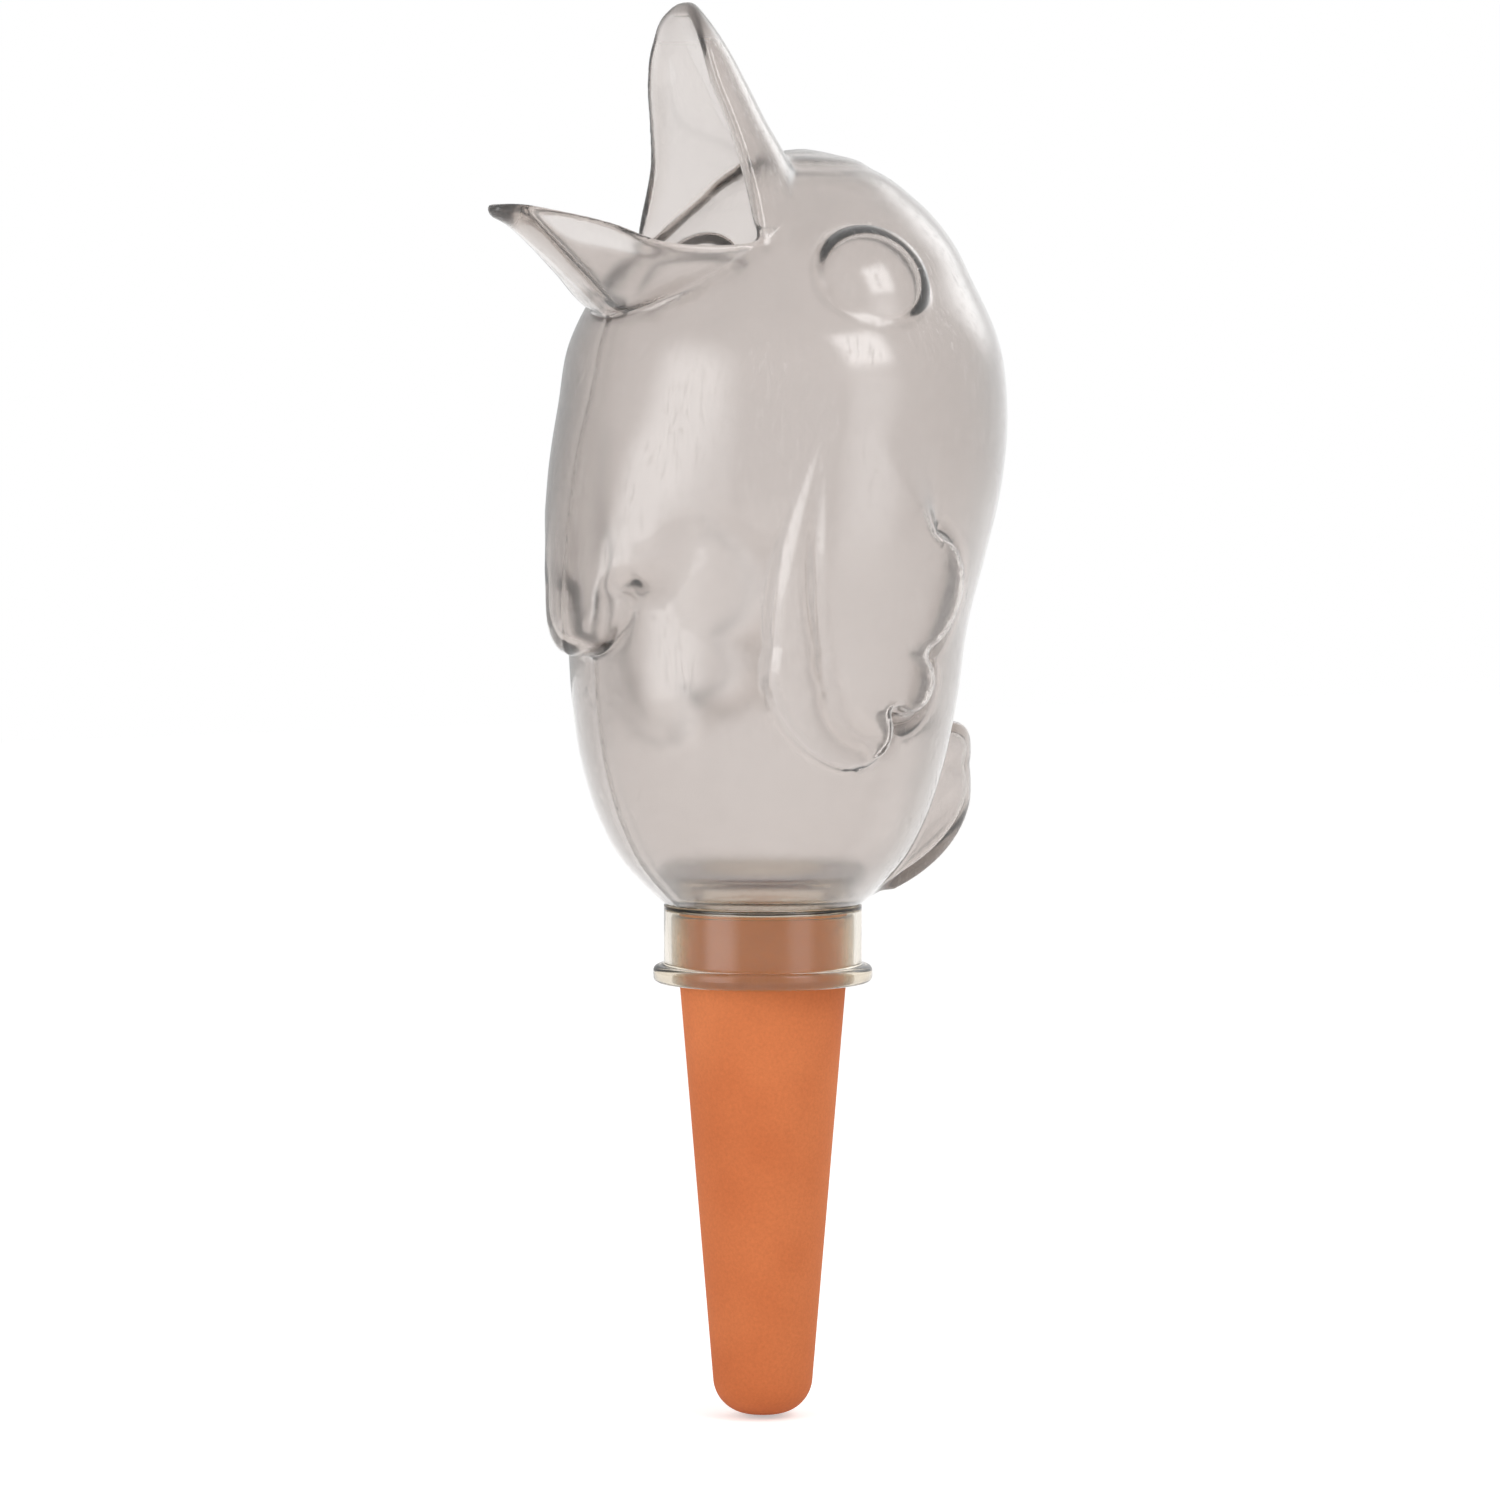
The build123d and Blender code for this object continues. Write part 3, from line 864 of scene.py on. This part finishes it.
def make_sleeve(tree, finish):
    outer = NECK_RADIUS - NECK_WALL - SLEEVE_CLEARANCE
    inner = CONE_SOIL_RADIUS + SLEEVE_AIR
    return turned("seal_ring_soft", tree, (
        (inner, SLEEVE_BOTTOM, 0.25),
        (outer, SLEEVE_BOTTOM, 0.35),
        (outer, SLEEVE_TOP, 0.35),
        (inner, SLEEVE_TOP, 0.25),
    ), finish)


# ---------------------------------------------------------------- materials


def linear(code):
    """A colour written as an sRGB hex value, as the linear colour that the shaders take."""
    parts = [int(code[i:i + 2], 16) / 255 for i in (0, 2, 4)]
    parts = [p / 12.92 if p <= 0.04045 else ((p + 0.055) / 1.055) ** 2.4 for p in parts]
    return (*parts, 1.0)


def empty_tree(owner):
    """The node tree of a material, a lamp or the world, with nothing in it."""
    owner.use_nodes = True
    owner.node_tree.nodes.clear()
    return owner.node_tree


def new_material(name):
    """A material, its empty node tree, and the object's own coordinates in it."""
    material = bpy.data.materials.new(name)
    tree = empty_tree(material)
    return material, tree, node(tree, "ShaderNodeTexCoord").outputs["Object"]


def noise(tree, place, waves, detail, roughness=0.5):
    """Noise with so many waves a metre."""
    return node(
        tree, "ShaderNodeTexNoise",
        Vector=place, Scale=waves, Detail=detail, Roughness=roughness,
    ).outputs["Fac"]


def bump(tree, height, strength, distance, **under):
    """Normals that a height bends, over other normals where they are given."""
    return node(
        tree, "ShaderNodeBump", Height=height, Strength=strength, Distance=distance, **under,
    ).outputs["Normal"]


def mapped(tree, value, start, end, to_start=0.0, to_end=1.0, way="LINEAR"):
    """A value taken from one range to another, and no further."""
    return node(
        tree, "ShaderNodeMapRange", {"interpolation_type": way},
        Value=value, From_Min=start, From_Max=end, To_Min=to_start, To_Max=to_end,
    ).outputs["Result"]


def blended(tree, share, one, other, way="MIX"):
    """Two colours blended."""
    settings = {"data_type": "RGBA", "blend_type": way}
    return node(tree, "ShaderNodeMix", settings, i0=share, i6=one, i7=other).outputs[2]


def smoky_clear_plastic():
    """Smoky clear polystyrene, moulded: glossy, a little hazy looked through, darker edge-on."""
    material, tree, place = new_material("smoky_clear_polystyrene")
    # The wall of a moulding swells and thins over 15 to 20 mm: 60 waves a metre.
    swell = bump(tree, noise(tree, place, 60.0, 1.0, 0.4), 0.10, 0.001)
    # Rubbed scratches are hair fine (0.05 mm) and 1 to 3 mm long; they are drawn 0.3 mm wide, so
    # that they show.
    stretched = node(
        tree, "ShaderNodeMapping",
        Vector=place, Rotation=(0.5, 0.35, 0.2), Scale=(1.0, 1.0, 0.22),
    )
    scratch = noise(tree, stretched.outputs["Vector"], 1700.0, 2.0, 0.6)
    rubbed = bump(tree, mapped(tree, scratch, 0.60, 0.70), 0.5, 0.0002, Normal=swell)
    # Both tips of the beak read as ground flat after moulding, matt over their last 3 to 5 mm.
    along = node(tree, "ShaderNodeSeparateXYZ", Vector=place).outputs
    above = mapped(tree, along["Z"], *UPPER_TIP_GROUND, SHINE, MATT_TIP)
    ahead = mapped(tree, along["Y"], *LOWER_TIP_GROUND, SHINE, MATT_TIP)
    shader = node(
        tree, "ShaderNodeBsdfPrincipled",
        Base_Color=linear("F4F1F0"), Roughness=maths(tree, "MAXIMUM", above, ahead),
        IOR=PLASTIC_IOR, Transmission_Weight=1.0, Normal=swell,
        Coat_Weight=1.0, Coat_Roughness=0.06, Coat_IOR=PLASTIC_IOR, Coat_Normal=rubbed,
    )
    # The tint is in the plastic itself: light takes on more of it with each millimetre of wall.
    inside = node(
        tree, "ShaderNodeVolumeAbsorption", Color=(0.887, 0.870, 0.857, 1.0), Density=1000.0,
    )
    node(tree, "ShaderNodeOutputMaterial", Surface=shader.outputs[0], Volume=inside.outputs[0])
    return material


def clear_collar_plastic():
    """Clear polystyrene, moulded: glossier and less smoky than the bird."""
    material, tree, place = new_material("clear_polystyrene_collar")
    # Moulding ripple of about 8 mm: 120 waves a metre.
    ripple = bump(tree, noise(tree, place, 120.0, 1.0, 0.4), 0.10, 0.001)
    # The plug's top edge shows as a dark line: painted shade, grey over its last half millimetre.
    height = node(tree, "ShaderNodeSeparateXYZ", Vector=place).outputs["Z"]
    tone = blended(tree, mapped(tree, height, *PAINTED_SHADE_LINE), linear("FFFDFA"), linear("8F8887"))
    shader = node(
        tree, "ShaderNodeBsdfPrincipled",
        Base_Color=tone, Roughness=0.05, IOR=PLASTIC_IOR, Transmission_Weight=1.0, Normal=ripple,
    )
    inside = node(
        tree, "ShaderNodeVolumeAbsorption", Color=(0.94, 0.912, 0.860, 1.0), Density=500.0,
    )
    node(tree, "ShaderNodeOutputMaterial", Surface=shader.outputs[0], Volume=inside.outputs[0])
    return material


def clear_silicone():
    """Soft clear silicone, slightly yellow and hazy."""
    material, tree, place = new_material("soft_clear_silicone")
    # A soft ring creases every 2 to 3 mm: 420 waves a metre.
    crease = bump(tree, noise(tree, place, 420.0, 2.0), 0.2, 0.0004)
    shader = node(
        tree, "ShaderNodeBsdfPrincipled",
        Base_Color=linear("F8E6BE"), Roughness=0.25, IOR=SILICONE_IOR, Transmission_Weight=1.0,
        Normal=crease,
    )
    node(tree, "ShaderNodeOutputMaterial", Surface=shader.outputs[0])
    return material


def terracotta():
    """Unglazed fired clay: matt, fine-grained, with slow changes of tone from firing."""
    material, tree, place = new_material("unglazed_terracotta")
    # Firing tones drift over 20 to 30 mm: 45 waves a metre.
    tone = node(tree, "ShaderNodeValToRGB", Fac=noise(tree, place, 45.0, 2.0))
    for element, position, code in zip(
        tone.color_ramp.elements, (0.30, 0.72), ("BE6638", "D27A49"),
    ):
        element.position = position
        element.color = linear(code)
    # Grains of fired clay are 0.1 to 0.2 mm; they are drawn 0.4 mm wide, so that they show.
    grain = noise(tree, place, 2200.0, 3.0, 0.7)
    fleck = mapped(tree, grain, 0.25, 0.75, 0.90, 1.08)
    colour = blended(tree, 1.0, tone.outputs["Color"], fleck, "MULTIPLY")
    # Inside the collar the clay is painted paler and yellower: painted light, so that it comes
    # nearer to how it reads there through the collar and the seal.
    height = node(tree, "ShaderNodeSeparateXYZ", Vector=place).outputs["Z"]
    colour = blended(tree, mapped(tree, height, *PAINTED_LIGHT_CLAY), colour, linear("F8A55A"))
    shader = node(
        tree, "ShaderNodeBsdfPrincipled",
        Base_Color=colour, Roughness=0.86, Specular_IOR_Level=0.35,
        Normal=bump(tree, grain, 0.35, 0.00012),
    )
    node(tree, "ShaderNodeOutputMaterial", Surface=shader.outputs[0])
    return material


# ---------------------------------------------------------------- the object

plastic = smoky_clear_plastic()
collar_plastic = clear_collar_plastic()
silicone = clear_silicone()
clay = terracotta()
turning = turning_tree()

bird = make_bird(plastic)
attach(bird, "bird")
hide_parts("left_shell", "right_shell")

collar = make_collar(turning, collar_plastic)
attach(collar, "bird")
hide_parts("neck_collar")

sleeve = make_sleeve(turning, silicone)
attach(sleeve, "spike")
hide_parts("seal_sleeve")

cone = frame["nodes"]["clay_cone"]
for slot in cone.material_slots:
    slot.material = clay

# ---------------------------------------------------------------- studio

WHITE = (1, 1, 1, 1)


def seen_ray(tree):
    """1 for the rays that look at the studio: from the camera, off gloss and through plastic."""
    ray = node(tree, "ShaderNodeLightPath").outputs
    gloss = maths(tree, "MAXIMUM", ray["Is Glossy Ray"], ray["Is Transmission Ray"])
    return maths(tree, "MAXIMUM", ray["Is Camera Ray"], gloss)


def white_card(name, colour, glow):
    """Pale card that keeps the object's shadow, lifted to white for the rays that look at it."""
    material = bpy.data.materials.new(name)
    tree = empty_tree(material)
    card = node(tree, "ShaderNodeBsdfDiffuse", Color=colour).outputs[0]
    lift = node(tree, "ShaderNodeEmission", Color=WHITE, Strength=glow).outputs[0]
    both = node(tree, "ShaderNodeAddShader", i0=card, i1=lift).outputs[0]
    mix = node(tree, "ShaderNodeMixShader", i0=seen_ray(tree), i1=card, i2=both)
    node(tree, "ShaderNodeOutputMaterial", Surface=mix.outputs[0])
    return material


def make_floor():
    """The studio's floor, just under the tip of the cone."""
    mesh = bpy.data.meshes.new("studio_floor")
    level = -CONE_LENGTH * MM - FLOOR_GAP
    corners = [(x * FLOOR_HALF_WIDTH, y * FLOOR_HALF_WIDTH, level)
               for x, y in ((-1, -1), (1, -1), (1, 1), (-1, 1))]
    mesh.from_pydata(corners, [], [(0, 1, 2, 3)])
    mesh.update()
    floor = add_object("studio_floor", mesh)
    floor.data.materials.append(white_card("white_card", linear("F4F3F2"), FLOOR_GLOW))


def make_world():
    """A white room, with a grey flat that only gloss sees and that darkens the bird's edge."""
    world = bpy.data.worlds.new("studio")
    bpy.context.scene.world = world
    tree = empty_tree(world)
    towards = node(
        tree, "ShaderNodeVectorMath", {"operation": "DOT_PRODUCT"},
        i0=node(tree, "ShaderNodeTexCoord").outputs["Generated"], i1=direction(FLAT_AZIMUTH, 0),
    )
    flat = mapped(tree, towards.outputs["Value"], *FLAT_EDGE, 1.0, FLAT_GREY, "SMOOTHSTEP")
    ray = node(tree, "ShaderNodeLightPath").outputs
    off_gloss = maths(
        tree, "SUBTRACT", ray["Is Glossy Ray"], ray["Is Transmission Ray"], clamp=True,
    )
    level = node(tree, "ShaderNodeMix", {"data_type": "FLOAT"}, i0=off_gloss, i2=1.0, i3=flat)
    fill = node(tree, "ShaderNodeBackground", Color=WHITE, Strength=ROOM_FILL)
    white = node(tree, "ShaderNodeBackground", Color=WHITE, Strength=level.outputs[0])
    mix = node(
        tree, "ShaderNodeMixShader", i0=seen_ray(tree), i1=fill.outputs[0], i2=white.outputs[0],
    )
    node(tree, "ShaderNodeOutputWorld", Surface=mix.outputs[0])


def aim(obj, place, target):
    """Puts a lamp or the camera at a place, looking at the target."""
    obj.location = place
    obj.rotation_euler = (Vector(target) - Vector(place)).to_track_quat("-Z", "Y").to_euler()


def make_softbox(name, azimuth, elevation, distance, width, height, glow, soft_edge, target):
    """A soft lamp that stands around the cone's axis, above or below the height of its target."""
    light = bpy.data.lights.new(name, "AREA")
    light.shape = "RECTANGLE"
    light.size, light.size_y = width, height
    light.energy = glow * math.pi * width * height
    tree = empty_tree(light)
    on_lamp = node(tree, "ShaderNodeNewGeometry").outputs["Parametric"]
    place = node(tree, "ShaderNodeSeparateXYZ", Vector=on_lamp).outputs
    fades = []
    for axis in ("X", "Y"):
        away = maths(tree, "ABSOLUTE", maths(tree, "SUBTRACT", place[axis], 0.5), 0.0)
        fades.append(mapped(tree, away, 0.5, 0.5 - soft_edge, way="SMOOTHSTEP"))
    glowing = node(
        tree, "ShaderNodeEmission", Color=WHITE, Strength=maths(tree, "MULTIPLY", *fades),
    )
    node(tree, "ShaderNodeOutputLight", Surface=glowing.outputs[0])
    lamp = add_object(name, light)
    # A lamp straight behind the clear bird would wash its colour out.
    lamp.visible_transmission = False
    x, y, z = (part * distance for part in direction(azimuth, elevation))
    aim(lamp, (x, y, z + target[2]), target)


def make_camera():
    """The photograph's camera."""
    turn = math.radians(CAMERA_AZIMUTH)
    rightwards = Vector((math.cos(turn), math.sin(turn), 0))
    target = Vector((0, 0, CAMERA_HEIGHT)) - rightwards * CAMERA_SHIFT
    lens = bpy.data.cameras.new("photo_camera")
    lens.sensor_width = SENSOR_WIDTH
    lens.lens = SENSOR_WIDTH * CAMERA_DISTANCE / FRAME_WIDTH
    lens.clip_start = 0.01
    lens.clip_end = 20.0
    camera = add_object("photo_camera", lens)
    towards = Vector(direction(CAMERA_AZIMUTH, CAMERA_ELEVATION))
    aim(camera, target + towards * CAMERA_DISTANCE, target)
    bpy.context.scene.camera = camera


make_floor()
make_world()
for softbox in SOFTBOXES:
    make_softbox(*softbox)
make_camera()

bpy.context.scene.view_settings.view_transform = "Standard"
